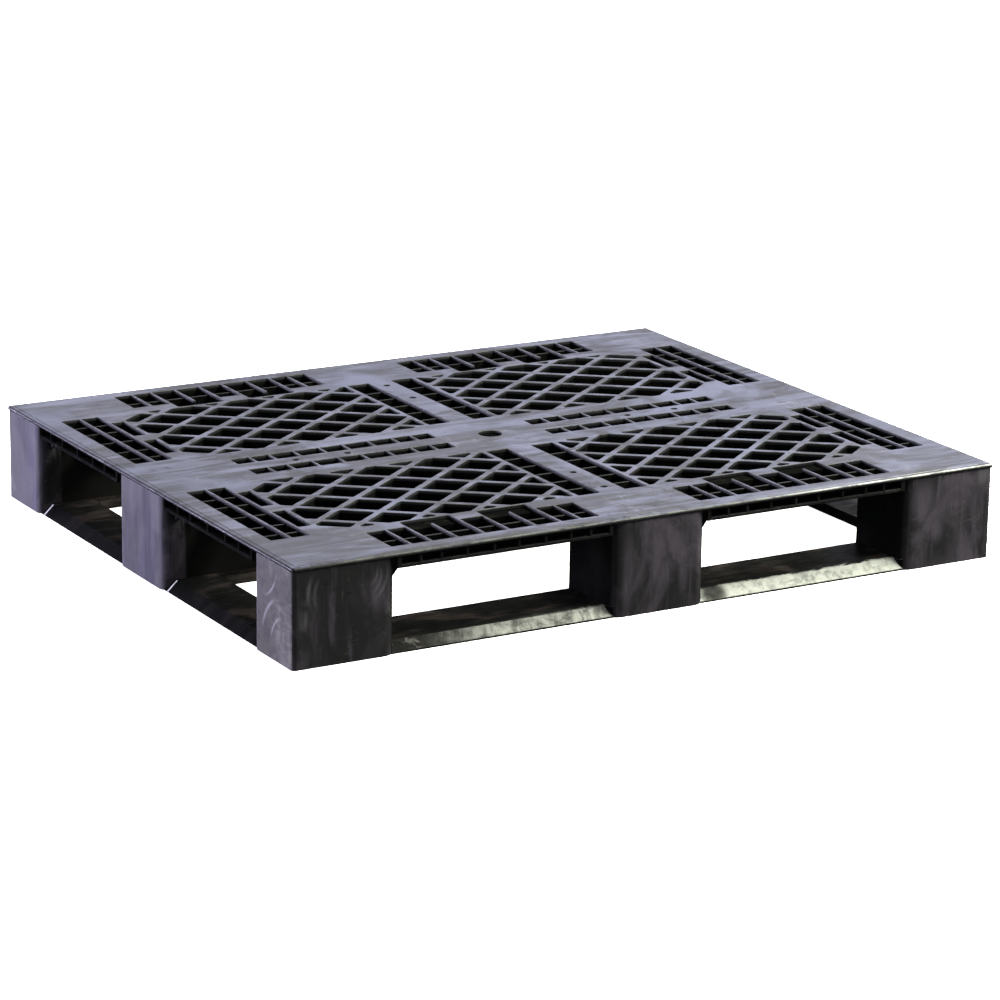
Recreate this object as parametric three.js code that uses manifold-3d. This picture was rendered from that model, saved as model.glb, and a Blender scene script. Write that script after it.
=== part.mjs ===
// Rackable plastic pallet, 48 x 40 x 6 inches: a moulded deck, nine hollow blocks and a moulded base frame,
// stiffened with steel tubes and screwed together. Millimetres, +X along the 48-inch side, +Y along the
// 40-inch side, +Z up, origin at the centre of the footprint on the floor.
import * as THREE from 'three';
import { mergeVertices } from 'three/addons/utils/BufferGeometryUtils.js';
import Module from 'manifold-3d';

const wasm = await Module();
wasm.setup();

// ---- driving dimensions -----------------------------------------------------------------------------
const LENGTH = 1219.2;
const WIDTH = 1016;
const HEIGHT = 152.4;
const HALF_X = LENGTH / 2;
const HALF_Y = WIDTH / 2;
const GAP = 0.3;                       // clearance between pieces that rest on or plug into each other
const SEAT_GAP = 0.4;                  // clearance between a block's top and the deck
const WALL = 5.4;                      // wall of a block
const RIB = 4;                         // thin moulded rib

// deck
const DECK_DEPTH = 24;
const SKIN = 6.4;                      // thickness of the top skin and its lip
const LIP = 1;                         // how far the lip stands out over the rim and the block faces
const LIP_CORNER = 5;
const DECK_BOTTOM = HEIGHT - DECK_DEPTH;
const SKIN_BOTTOM = HEIGHT - SKIN;
const FACE_X = HALF_X - LIP;           // outer faces of the rim and the blocks
const FACE_Y = HALF_Y - LIP;
const RIM_FLANGE = 5;                  // lower flange of the rim, under its pockets
const RIM_POCKET_DEPTH = 20;

// grid openings beside the blocks, worked out from the middle of each bay of the long side
const BAY_X = 261.4;
const BAY_HALF = 173.4;
const BAY_RIBS = [20.4, 65.2, 107.8, 141.4];
const EDGE_GRID = { low: 398.2, high: 476.3, crossRib: 436.7, recessLow: 372.2 };
const LEDGES = [[2, 3], [5, 6]];        // pairs of columns that share a recessed ledge
const ARM_SLOT = { low: 17.2, high: 46.5 };
const SIDE_COLUMNS = [[511.2, 539.5], [544, 573.8]];
const SIDE_SPAN = [90.2, 371];
const SIDE_RIBS = [131, 174.2, 232.3, 290.8, 335];   // cross ribs of the side columns and the rim beside them
const INNER_COLUMN = [486.4, 507.2];
const INNER_COLUMN_SPANS = [[125, 207.5], [240.2, 327.6]];
const SPINE_SLOT = [21.8, 59.8];
const SPINE_RIBS = [135, 181.6, 229.3, 277.9, 323.6];

// blind pockets under the solid plates
const CORNER_PLATE_POCKETS = { x: [450, 594], y: [387, 493], ribX: 522, ribY: 440 };
const SIDE_PLATE_POCKET = { x: [450, 594], y: [20, 76] };
const MIDDLE_PLATE_POCKETS = { x: [24, 76], y: [[387, 493], [22, 76]] };
const ARM_POCKET = { x: [92.7, 431], y: [51, 81.5] };

// diamond lattice
const LATTICE = { x0: 67.5, x1: 479.4, y0: 85.4, y1: 368.3, cutX: 44.7, cutY: 33.7 };
const DIAMOND = { x: 363.5, y: 191.4, pitchX: 102.5, pitchY: 78.4, rib: 10 };
const DIAMOND_REACH = 10;              // half rows and columns tried each way from that diamond
const SMALLEST_OPENING = 60;           // square millimetres; smaller leftovers are moulded solid

// holes in the deck
const CENTRE_RECESS = { radius: 19, depth: 6, hole: 10, sides: 32 };
const SCREW_SPOTS = [255, 345];        // distance from the pallet's centre along each spine
const SCREW_HOLE = 5.5;

// blocks
const BLOCK_ROUND = 20;                // outer vertical edges beside a fork opening
const BLOCK_SMALL_ROUND = 5;
const CORNER_X = 441.7;                 // inner face of a corner block
const CORNER_Y = 379;
const BLOCK_ROW_Y = (CORNER_Y + FACE_Y) / 2;         // middle of the front and back rows of blocks
const MIDDLE_X = 82.4;                  // half width of a middle block along X
const MIDDLE_Y = 82.4;
const BLOCK_TOP = DECK_BOTTOM - SEAT_GAP;
const GUSSET = { along: 16, down: 20, thick: 6 };
const BOSS = 9;                         // half width of the square boss that takes the block's screw

// base frame
const BASE = 16.5;
const BASE_TOP_GAP = BASE + GAP;
const BASE_X = FACE_X - WALL - GAP;    // where it passes inside the walls of the blocks
const BASE_Y = FACE_Y - WALL - GAP;
const TOE_SETBACK = 4.5;               // the ramps start this far behind the block faces
const TOE = 2;                         // height of the ramps' outer edge
const TOE_ROUND = 8;                   // corners of the frame, inside the walls of the corner blocks
const RAMP = 15.5;
const CHAMFER = 27;                    // run of the slope on the inner edges of the runners along X
const WINDOW = { x: 520, y: [98, 364] };
const WINDOW_ROUND = 15;
const UNDERSIDE_POCKET = 9.5;          // depth of the blind pockets under the base frame
const RUNNER_POCKETS = {
  x: [[92, 202], [206, 316], [320, 428]],
  y: [[-472, -466], [-419, -413], [-64, -24], [24, 64], [413, 419], [466, 472]],
};
const SIDE_RUNNER_POCKETS = { x: [526, 568], y: [[96, 184], [188, 274], [278, 364]] };

// steel
const DECK_TUBE = { width: 26, height: 13, wall: 1.5, top: 142.6 };
const DECK_WEB = 143;                  // underside of the web that the deck screws clamp
const BASE_TUBE = { width: 40, height: 7.5, wall: 1.5, low: 1.2, halfLength: 590 };
const BASE_TUBE_ROWS = { front: -BLOCK_ROW_Y, middle: 0, back: BLOCK_ROW_Y };
const DECK_SCREW = { head: 5, headHeight: 2.6, shank: 2.9, length: 12 };
const SCREW_SIDES = 8;
const BASE_SCREW = { head: 8, headHeight: 3.2, shank: 4, length: 44, recess: 5.5, pocket: 8.6 };

// ---- solids -----------------------------------------------------------------------------------------
function solid(geometry) {
  const bare = geometry.clone();
  for (const name of Object.keys(bare.attributes)) if (name !== 'position') bare.deleteAttribute(name);
  const merged = mergeVertices(bare, 1e-4);
  const index = merged.index.array;
  const triangles = [];
  for (let i = 0; i < index.length; i += 3) {
    const [a, b, c] = index.slice(i, i + 3);
    if (a !== b && b !== c && c !== a) triangles.push(a, b, c);
  }
  return new wasm.Manifold(new wasm.Mesh({
    numProp: 3,
    vertProperties: new Float32Array(merged.attributes.position.array),
    triVerts: new Uint32Array(triangles),
  }));
}

function geometryOf(manifold) {
  const mesh = manifold.getMesh();
  const geometry = new THREE.BufferGeometry();
  geometry.setAttribute('position', new THREE.BufferAttribute(new Float32Array(mesh.vertProperties), 3));
  geometry.setIndex(new THREE.BufferAttribute(new Uint32Array(mesh.triVerts), 1));
  geometry.computeVertexNormals();
  return geometry;
}

// One solid from an outline, or from a list of outlines that don't touch.
function prism(outlines, z0, z1, curveSegments = 2) {
  const options = { depth: z1 - z0, bevelEnabled: false, curveSegments };
  return solid(new THREE.ExtrudeGeometry(outlines, options).translate(0, 0, z0));
}

function box(x0, x1, y0, y1, z0, z1) {
  const geometry = new THREE.BoxGeometry(x1 - x0, y1 - y0, z1 - z0);
  return solid(geometry.translate((x0 + x1) / 2, (y0 + y1) / 2, (z0 + z1) / 2));
}

// A faceted cylinder whose flats, not its corners, lie at the radius.
function cylinder(x, y, z0, z1, radius, segments = 8) {
  const r = radius / Math.cos(Math.PI / segments);
  const geometry = new THREE.CylinderGeometry(r, r, z1 - z0, segments).rotateX(Math.PI / 2);
  return solid(geometry.translate(x, y, (z0 + z1) / 2));
}

// Extrudes a section along X or Y. Its first coordinate is Y for a run along X, and -X for a run along Y.
function run(axis, from, to, section) {
  const [x, y, z] = [new THREE.Vector3(1, 0, 0), new THREE.Vector3(0, 1, 0), new THREE.Vector3(0, 0, 1)];
  const basis = axis === 'x' ? [y, z, x] : [x.negate(), z, y];
  return new THREE.ExtrudeGeometry(section, { depth: to - from, bevelEnabled: false })
    .translate(0, 0, from).applyMatrix4(new THREE.Matrix4().makeBasis(...basis));
}

// A prism along X or Y whose section is a list of [across, z] points.
function wedge(axis, from, to, section) {
  const points = axis === 'y' ? section.map(([a, z]) => [-a, z]) : section.slice();
  return solid(run(axis, from, to, new THREE.Shape(vectors(points))));
}

const span = (a, b) => (a < b ? [a, b] : [b, a]);
const join = (first, ...rest) => rest.reduce((all, next) => all.add(next), first);
const cut = (first, ...rest) => rest.reduce((all, next) => all.subtract(next), first);

// ---- outlines ---------------------------------------------------------------------------------------
const rectangle = (x0, x1, y0, y1) => [[x0, y0], [x1, y0], [x1, y1], [x0, y1]];
const vectors = (points) => points.map(([x, y]) => new THREE.Vector2(x, y));

// Rounded rectangle; radii run from the low corner round towards +X, so [low, +X, +X+Y, +Y].
function roundedRectangle(target, x0, x1, y0, y1, radii) {
  const [a, b, c, d] = radii;
  target.moveTo(x0 + a, y0);
  target.lineTo(x1 - b, y0);
  if (b) target.absarc(x1 - b, y0 + b, b, -Math.PI / 2, 0, false);
  target.lineTo(x1, y1 - c);
  if (c) target.absarc(x1 - c, y1 - c, c, 0, Math.PI / 2, false);
  target.lineTo(x0 + d, y1);
  if (d) target.absarc(x0 + d, y1 - d, d, Math.PI / 2, Math.PI, false);
  target.lineTo(x0, y0 + a);
  if (a) target.absarc(x0 + a, y0 + a, a, Math.PI, Math.PI * 1.5, false);
  return target;
}

// Keeps the part of a polygon where a*x + b*y <= c.
function clip(polygon, [a, b, c]) {
  const kept = [];
  polygon.forEach((p, i) => {
    const q = polygon[(i + 1) % polygon.length];
    const dp = a * p[0] + b * p[1] - c;
    const dq = a * q[0] + b * q[1] - c;
    if (dp <= 0) kept.push(p);
    const t = dp / (dp - dq);
    if (dp * dq < 0) kept.push([p[0] + (q[0] - p[0]) * t, p[1] + (q[1] - p[1]) * t]);
  });
  return kept;
}

function area(polygon) {
  return Math.abs(polygon.reduce((sum, p, i) => {
    const q = polygon[(i + 1) % polygon.length];
    return sum + p[0] * q[1] - q[0] * p[1];
  }, 0)) / 2;
}

// Splits a span at its ribs, each one RIB thick.
function split([low, high], ribs) {
  const inside = ribs.filter((r) => r > low + RIB && r < high - RIB);
  const starts = [low, ...inside.map((r) => r + RIB / 2)];
  const ends = [...inside.map((r) => r - RIB / 2), high];
  return starts.map((start, i) => [start, ends[i]]);
}

function latticeOpenings() {
  const { x0, x1, y0, y1, cutX, cutY } = LATTICE;
  const a = DIAMOND.pitchX / 2;
  const b = DIAMOND.pitchY / 2;
  const scale = 1 - DIAMOND.rib / 2 * Math.hypot(a, b) / (a * b);
  const borders = [[-1, 0, -x0], [1, 0, x1], [0, -1, -y0], [0, 1, y1],
    [cutY, -cutX, cutY * x1 - cutX * (y0 + cutY)], [cutY, cutX, cutY * x1 + cutX * (y1 - cutY)]];
  const openings = [];
  for (let i = -DIAMOND_REACH; i <= DIAMOND_REACH; i += 1) {
    for (let j = -DIAMOND_REACH; j <= DIAMOND_REACH; j += 1) {
      if ((i + j) % 2) continue;
      const cx = DIAMOND.x + i * a;
      const cy = DIAMOND.y + j * b;
      let cell = [[cx + a * scale, cy], [cx, cy + b * scale], [cx - a * scale, cy], [cx, cy - b * scale]];
      for (const border of borders) cell = clip(cell, border);
      if (cell.length > 2 && area(cell) > SMALLEST_OPENING) openings.push(cell);
    }
  }
  return openings;
}

// ---- deck -------------------------------------------------------------------------------------------
const bayRibs = [...BAY_RIBS.map((r) => BAY_X - r).reverse(), ...BAY_RIBS.map((r) => BAY_X + r)];
const bayColumns = split([BAY_X - BAY_HALF, BAY_X + BAY_HALF], bayRibs);
const cells = (columns, rows) => columns.flatMap((x) => rows.map((y) => rectangle(...x, ...y)));
const mirror = (polygons) => [[1, 1], [-1, 1], [-1, -1], [1, -1]].flatMap(
  ([sx, sy]) => polygons.map((polygon) => polygon.map(([x, y]) => [sx * x, sy * y])));

// The top skin has long slots; the ribs that cross them lie lower, under the skin.
function skinOpenings() {
  const plain = bayColumns.filter((_, i) => !LEDGES.flat().includes(i));
  const ledges = LEDGES.map(([first, second]) => {
    const [[x0, x1], [x2, x3]] = [bayColumns[first], bayColumns[second]];
    const { low, high, recessLow } = EDGE_GRID;
    return [[x0, recessLow], [x3, recessLow], [x3, high], [x2, high],
      [x2, low], [x1, low], [x1, high], [x0, high]];
  });
  return mirror([
    ...cells(plain, [[EDGE_GRID.low, EDGE_GRID.high]]),
    ...ledges,
    ...cells(bayColumns, [[ARM_SLOT.low, ARM_SLOT.high]]),
    ...cells(SIDE_COLUMNS, [SIDE_SPAN]),
    ...cells([INNER_COLUMN], INNER_COLUMN_SPANS),
    ...cells([SPINE_SLOT], [SIDE_SPAN]),
    ...latticeOpenings(),
  ]);
}

function underOpenings() {
  return mirror([
    ...cells(bayColumns, split([EDGE_GRID.low, EDGE_GRID.high], [EDGE_GRID.crossRib])),
    ...cells(bayColumns, [[ARM_SLOT.low, ARM_SLOT.high]]),
    ...cells(SIDE_COLUMNS, split(SIDE_SPAN, SIDE_RIBS)),
    ...cells([INNER_COLUMN], INNER_COLUMN_SPANS),
    ...cells([SPINE_SLOT], split(SIDE_SPAN, SPINE_RIBS)),
    ...latticeOpenings(),
    ...cells(split(CORNER_PLATE_POCKETS.x, [CORNER_PLATE_POCKETS.ribX]),
      split(CORNER_PLATE_POCKETS.y, [CORNER_PLATE_POCKETS.ribY])),
    ...cells([SIDE_PLATE_POCKET.x], [SIDE_PLATE_POCKET.y]),
    ...cells([MIDDLE_PLATE_POCKETS.x], MIDDLE_PLATE_POCKETS.y),
    ...cells([ARM_POCKET.x], [ARM_POCKET.y]),
  ]);
}

// A flat layer of the deck, open where the polygons are.
function layer(outline, polygons, z0, z1) {
  const openings = polygons.map((polygon) => new THREE.Shape(vectors(polygon)));
  return prism(outline, z0, z1).subtract(prism(openings, z0 - 1, z1 + 1));
}

function rimPockets() {
  const z0 = DECK_BOTTOM + RIM_FLANGE;
  const out = 10;
  const pockets = [];
  for (const side of [-1, 1]) {
    for (const end of [-1, 1]) {
      for (const [x0, x1] of bayColumns) {
        const y = span(side * (FACE_Y - RIM_POCKET_DEPTH), side * (HALF_Y + out));
        pockets.push(box(...span(end * x0, end * x1), ...y, z0, SKIN_BOTTOM));
      }
      for (const [y0, y1] of split([MIDDLE_Y + RIB, CORNER_Y - RIB], SIDE_RIBS)) {
        const x = span(side * (FACE_X - RIM_POCKET_DEPTH), side * (HALF_X + out));
        pockets.push(box(...x, ...span(end * y0, end * y1), z0, SKIN_BOTTOM));
      }
    }
  }
  return pockets;
}

// Room for the outer walls of the blocks, which rise behind the lip to the skin.
function blockWallRooms() {
  const z = [DECK_BOTTOM - 1, SKIN_BOTTOM];
  const rooms = [];
  for (const s of [-1, 1]) {
    const x = span(s * BASE_X, s * HALF_X);
    const y = span(s * BASE_Y, s * HALF_Y);
    rooms.push(box(-MIDDLE_X - GAP, MIDDLE_X + GAP, ...y, ...z));
    rooms.push(box(...x, -MIDDLE_Y - GAP, MIDDLE_Y + GAP, ...z));
    for (const t of [-1, 1]) {
      rooms.push(box(...span(t * (CORNER_X - GAP), t * HALF_X), ...y, ...z));
      rooms.push(box(...x, ...span(t * (CORNER_Y - GAP), t * HALF_Y), ...z));
    }
  }
  return rooms;
}

const spineScrewSpots = SCREW_SPOTS.flatMap((d) => [[d, 0], [-d, 0], [0, d], [0, -d]]);

function deck() {
  const outline = (x, y, r) => roundedRectangle(new THREE.Shape(), -x, x, -y, y, [r, r, r, r]);
  const skin = layer(outline(HALF_X, HALF_Y, LIP_CORNER), skinOpenings(), SKIN_BOTTOM, HEIGHT);
  const under = layer(outline(FACE_X, FACE_Y, LIP_CORNER - LIP), underOpenings(), DECK_BOTTOM, SKIN_BOTTOM);
  const channel = DECK_TUBE.width / 2 + GAP;
  const tubeEnd = BASE_X - WALL;
  return cut(
    join(skin, under),
    ...rimPockets(),
    ...blockWallRooms(),
    box(-tubeEnd, tubeEnd, -channel, channel, DECK_BOTTOM - 1, DECK_WEB),
    box(-channel, channel, -BASE_Y + WALL, BASE_Y - WALL, DECK_BOTTOM - 1, DECK_WEB),
    ...spineScrewSpots.flatMap(([x, y]) => [cylinder(x, y, SKIN_BOTTOM, HEIGHT + 1, SCREW_HOLE),
      cylinder(x, y, DECK_WEB - 1, HEIGHT, DECK_SCREW.shank + GAP)]),
    cylinder(0, 0, HEIGHT - CENTRE_RECESS.depth, HEIGHT + 1, CENTRE_RECESS.radius, CENTRE_RECESS.sides),
    cylinder(0, 0, DECK_WEB - 1, HEIGHT, CENTRE_RECESS.hole, CENTRE_RECESS.sides),
  );
}

// ---- blocks -----------------------------------------------------------------------------------------
const BLOCK_ROWS = {
  front_left: [-1, -1], front_middle: [0, -1], front_right: [1, -1],
  middle_left: [-1, 0], centre: [0, 0], middle_right: [1, 0],
  back_left: [-1, 1], back_middle: [0, 1], back_right: [1, 1],
};

// Extent of the block in row sx along X and sy along Y, and the radii of its vertical edges.
function blockPlan(sx, sy) {
  const x = sx ? span(sx * CORNER_X, sx * FACE_X) : [-MIDDLE_X, MIDDLE_X];
  const y = sy ? span(sy * CORNER_Y, sy * FACE_Y) : [-MIDDLE_Y, MIDDLE_Y];
  const rounds = [[-1, -1], [1, -1], [1, 1], [-1, 1]].map(([px, py]) => {
    const besideOpening = (sx === px && sy !== py) || (sy === py && sx !== px);
    return besideOpening ? BLOCK_ROUND : BLOCK_SMALL_ROUND;
  });
  return { x, y, rounds };
}

function blockOutline({ x, y, rounds }, grow = 0) {
  return roundedRectangle(new THREE.Shape(), x[0] - grow, x[1] + grow, y[0] - grow, y[1] + grow,
    rounds.map((r) => r + grow));
}

// The four chambers of a hollow block, either side of its crossed ribs.
function chambers({ x: [x0, x1], y: [y0, y1], rounds }) {
  const [cx, cy, half] = [(x0 + x1) / 2, (y0 + y1) / 2, RIB / 2];
  const inner = rounds.map((r) => Math.max(r - WALL, 0));
  const chamber = (x, y, corner) => roundedRectangle(new THREE.Shape(), ...x, ...y,
    inner.map((r, i) => (i === corner ? r : 0)));
  const [left, right] = [[x0 + WALL, cx - half], [cx + half, x1 - WALL]];
  const [low, high] = [[y0 + WALL, cy - half], [cy + half, y1 - WALL]];
  return [chamber(left, low, 0), chamber(right, low, 1), chamber(right, high, 2), chamber(left, high, 3)];
}

// A triangular web in the top corner of a fork opening, just behind the rounded edge of the block.
function gusset(axis, edge, direction, depth) {
  const { along, down, thick } = GUSSET;
  const root = edge - direction * WALL / 2;
  const low = BLOCK_TOP - down;
  const section = [[root, low], [edge, low], [edge + direction * along, BLOCK_TOP], [root, BLOCK_TOP]];
  return wedge(axis, ...span(depth, depth - Math.sign(depth) * thick), section);
}

function block(sx, sy) {
  const plan = blockPlan(sx, sy);
  const [cx, cy] = [(plan.x[0] + plan.x[1]) / 2, (plan.y[0] + plan.y[1]) / 2];
  const gussets = [];
  if (sy) {
    for (const s of sx ? [-sx] : [-1, 1]) {
      gussets.push(gusset('y', sx ? sx * CORNER_X : s * MIDDLE_X, s, sy * (FACE_Y - BLOCK_ROUND)));
    }
  }
  if (sx) {
    for (const s of sy ? [-sy] : [-1, 1]) {
      gussets.push(gusset('x', sy ? sy * CORNER_Y : s * MIDDLE_Y, s, sx * (FACE_X - BLOCK_ROUND)));
    }
  }
  const shell = prism(blockOutline(plan), 0, SKIN_BOTTOM - GAP).subtract(prism(chambers(plan), -1, HEIGHT));
  const boss = box(cx - BOSS, cx + BOSS, cy - BOSS, cy + BOSS, 0, BLOCK_TOP);
  const within = [-BASE_X - GAP, BASE_X + GAP, -BASE_Y - GAP, BASE_Y + GAP];
  return cut(join(shell, boss, ...gussets),
    box(...within, -1, BASE_TOP_GAP), box(...within, BLOCK_TOP, HEIGHT),
    cylinder(cx, cy, -1, BASE_SCREW.recess + BASE_SCREW.length + GAP, BASE_SCREW.shank + GAP));
}

const blockSpots = Object.fromEntries(Object.entries(BLOCK_ROWS).map(([name, [sx, sy]]) => {
  const { x, y } = blockPlan(sx, sy);
  return [name, [(x[0] + x[1]) / 2, (y[0] + y[1]) / 2]];
}));

// ---- base frame -------------------------------------------------------------------------------------
// Cuts the ramps into the outer edges, between the blocks.
function outerRamps() {
  const over = 5;
  const slope = (BASE - TOE) / RAMP;
  const section = (side, edge) => [[edge + over, BASE + over], [edge - RAMP, BASE + over],
    [edge - RAMP, BASE], [edge + over, TOE - slope * over]].map(([a, z]) => [side * a, z]);
  const along = (end, from, to) => span(end * (from - BLOCK_ROUND), end * (to + BLOCK_ROUND));
  return [-1, 1].flatMap((side) => [-1, 1].flatMap((end) => [
    wedge('x', ...along(end, MIDDLE_X, CORNER_X), section(side, FACE_Y - TOE_SETBACK)),
    wedge('y', ...along(end, MIDDLE_Y, CORNER_Y), section(side, FACE_X - TOE_SETBACK)),
  ]));
}

// Slopes on the window edges that run along X, so that a truck's wheels roll over the runners.
function innerSlopes() {
  const over = 3;
  const slope = (BASE - TOE) / CHAMFER;
  const section = (edge, inward) => [[over, TOE - slope * over], [-CHAMFER, BASE], [-CHAMFER, BASE + over],
    [over, BASE + over]].map(([a, z]) => [edge + inward * a, z]);
  return [-1, 1].flatMap((side) => [-1, 1].flatMap((end) => {
    const x = span(end * MIDDLE_X, end * CORNER_X);
    return [[side * WINDOW.y[1], -side], [side * WINDOW.y[0], side]].map(
      (edge) => wedge('x', ...x, section(...edge)));
  }));
}

function undersidePockets() {
  const pocket = (x, y) => box(...x, ...y, -1, UNDERSIDE_POCKET);
  const flipped = (side, [low, high]) => span(side * low, side * high);
  return [-1, 1].flatMap((s) => [
    ...RUNNER_POCKETS.x.flatMap((x) => RUNNER_POCKETS.y.map((y) => pocket(flipped(s, x), y))),
    ...SIDE_RUNNER_POCKETS.y.flatMap((y) => [-1, 1].map(
      (t) => pocket(flipped(s, SIDE_RUNNER_POCKETS.x), flipped(t, y)))),
  ]);
}

function baseFrame() {
  const [toeX, toeY] = [FACE_X - TOE_SETBACK, FACE_Y - TOE_SETBACK];
  const outline = roundedRectangle(new THREE.Shape(), -toeX, toeX, -toeY, toeY, Array(4).fill(TOE_ROUND));
  const windows = [-1, 1].map((s) => roundedRectangle(new THREE.Shape(),
    -WINDOW.x, WINDOW.x, ...span(s * WINDOW.y[0], s * WINDOW.y[1]), Array(4).fill(WINDOW_ROUND)));
  const underBlocks = prism(Object.values(BLOCK_ROWS).map((row) => blockOutline(blockPlan(...row), GAP)),
    -1, BASE + 1);
  const insideWalls = box(-BASE_X, BASE_X, -BASE_Y, BASE_Y, -2, BASE + 2);
  const seat = BASE_SCREW.recess + BASE_SCREW.headHeight + GAP;
  const groove = BASE_TUBE.width / 2 + GAP;
  const grooveTop = BASE_TUBE.low + BASE_TUBE.height + GAP;
  const grooveEnd = BASE_TUBE.halfLength + GAP;
  const seats = Object.values(blockSpots).flatMap(([x, y]) => [
    cylinder(x, y, -1, seat, BASE_SCREW.pocket),
    cylinder(x, y, -1, BASE + 1, BASE_SCREW.shank + GAP)]);
  const grooves = Object.values(BASE_TUBE_ROWS).map(
    (y) => box(-grooveEnd, grooveEnd, y - groove, y + groove, -1, grooveTop));
  return cut(prism(outline, 0, BASE), prism(windows, -1, BASE + 1), cut(underBlocks, insideWalls),
    ...[...outerRamps(), ...innerSlopes()].map((slope) => cut(slope, underBlocks)),
    ...undersidePockets(), ...grooves, ...seats);
}

// ---- steel ------------------------------------------------------------------------------------------
function tubeSection({ width, height, wall }) {
  const around = (inset) => vectors(rectangle(
    inset - width / 2, width / 2 - inset, inset - height / 2, height / 2 - inset));
  const shape = new THREE.Shape(around(0));
  shape.holes.push(new THREE.Path(around(wall)));
  return shape;
}

// A tube along X or Y from one end to the other, with round holes for its screws.
function steelTube(axis, from, to, across, z, size, holes) {
  const place = axis === 'x' ? [0, across, z] : [across, 0, z];
  return cut(solid(run(axis, from, to, tubeSection(size)).translate(...place)), ...holes);
}

function screw(size) {
  const profile = [[0, 0], [size.shank, 0], [size.shank, size.length - size.headHeight],
    [size.head, size.length - size.headHeight], [size.head, size.length], [0, size.length]];
  return new THREE.LatheGeometry(vectors(profile), SCREW_SIDES).rotateX(Math.PI / 2);
}

// ---- assembly ---------------------------------------------------------------------------------------
const plastic = () => new THREE.MeshStandardMaterial({ color: 0x3a383c, roughness: 0.5, metalness: 0 });
const steel = () => new THREE.MeshStandardMaterial({ color: 0x9ea2a6, roughness: 0.45, metalness: 1 });
const darkSteel = () => new THREE.MeshStandardMaterial({ color: 0x2b2b2d, roughness: 0.5, metalness: 1 });

const pallet = new THREE.Group();

function addPiece(name, geometry, material, position = [0, 0, 0]) {
  const mesh = new THREE.Mesh(geometry, material);
  mesh.name = name;
  mesh.position.set(...position);
  pallet.add(mesh);
  return mesh;
}

addPiece('top_deck', geometryOf(deck()), plastic());

for (const [name, row] of Object.entries(BLOCK_ROWS)) {
  addPiece(`block_${name}`, geometryOf(block(...row)), plastic());
}
addPiece('base_frame', geometryOf(baseFrame()), plastic());

const tubeZ = DECK_TUBE.top - DECK_TUBE.height / 2;
const drill = ([x, y]) => cylinder(x, y, tubeZ, HEIGHT, DECK_SCREW.shank + GAP);
const longEnd = BASE_X - WALL - GAP;
const crossEnd = BASE_Y - WALL - GAP;
const crossStart = DECK_TUBE.width / 2 + GAP;
addPiece('deck_tube_long', geometryOf(steelTube('x', -longEnd, longEnd, 0, tubeZ, DECK_TUBE,
  spineScrewSpots.filter(([, y]) => y === 0).map(drill))), steel());
for (const [name, side] of [['front', -1], ['back', 1]]) {
  const ends = span(side * crossStart, side * crossEnd);
  const holes = spineScrewSpots.filter(([, y]) => y * side > 0).map(drill);
  addPiece(`deck_tube_${name}`, geometryOf(steelTube('y', ...ends, 0, tubeZ, DECK_TUBE, holes)), steel());
}
for (const [name, y] of Object.entries(BASE_TUBE_ROWS)) {
  const z = BASE_TUBE.low + BASE_TUBE.height / 2;
  const holes = Object.values(blockSpots).filter(([, by]) => Math.abs(by - y) < BASE_TUBE.width / 2)
    .map(([bx, by]) => cylinder(bx, by, -1, BASE, BASE_SCREW.pocket));
  addPiece(`base_tube_${name}`, geometryOf(steelTube('x', -BASE_TUBE.halfLength, BASE_TUBE.halfLength, y, z,
    BASE_TUBE, holes)), steel());
}

spineScrewSpots.forEach(([x, y], i) => {
  const z = SKIN_BOTTOM + GAP + DECK_SCREW.headHeight - DECK_SCREW.length;
  addPiece(`deck_screw_${i + 1}`, screw(DECK_SCREW), darkSteel(), [x, y, z]);
});
Object.entries(blockSpots).forEach(([name, [x, y]]) => {
  const tip = BASE_SCREW.recess + BASE_SCREW.length;
  const piece = addPiece(`block_screw_${name}`, screw(BASE_SCREW), darkSteel(), [x, y, tip]);
  piece.rotation.x = Math.PI;
});

export default pallet;
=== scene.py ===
"""Looks of the rackable plastic pallet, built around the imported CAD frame. The dimensions and the outlines
are millimetres. Materials, lights, floor and camera are metres, and MM turns the one into the other. The
frame has +X along the 48-inch side, +Y along the 40-inch side and +Z up."""
import math

import bmesh
import bpy
from mathutils import Matrix, Vector
from mathutils.geometry import delaunay_2d_cdt


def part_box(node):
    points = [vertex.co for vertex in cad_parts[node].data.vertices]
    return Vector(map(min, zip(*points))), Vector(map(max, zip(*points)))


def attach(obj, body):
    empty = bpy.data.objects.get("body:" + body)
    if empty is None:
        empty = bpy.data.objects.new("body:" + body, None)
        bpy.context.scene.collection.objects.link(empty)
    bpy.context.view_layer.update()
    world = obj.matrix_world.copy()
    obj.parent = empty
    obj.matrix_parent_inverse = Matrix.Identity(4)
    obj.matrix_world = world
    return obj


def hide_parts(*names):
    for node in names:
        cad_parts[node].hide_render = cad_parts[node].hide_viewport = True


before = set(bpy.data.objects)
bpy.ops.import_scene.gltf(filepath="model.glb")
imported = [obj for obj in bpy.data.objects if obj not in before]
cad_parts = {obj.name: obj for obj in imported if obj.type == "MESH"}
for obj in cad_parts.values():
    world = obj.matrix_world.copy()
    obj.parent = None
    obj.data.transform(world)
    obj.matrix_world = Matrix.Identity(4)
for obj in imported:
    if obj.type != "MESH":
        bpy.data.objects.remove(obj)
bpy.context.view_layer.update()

MM = 0.001

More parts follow.
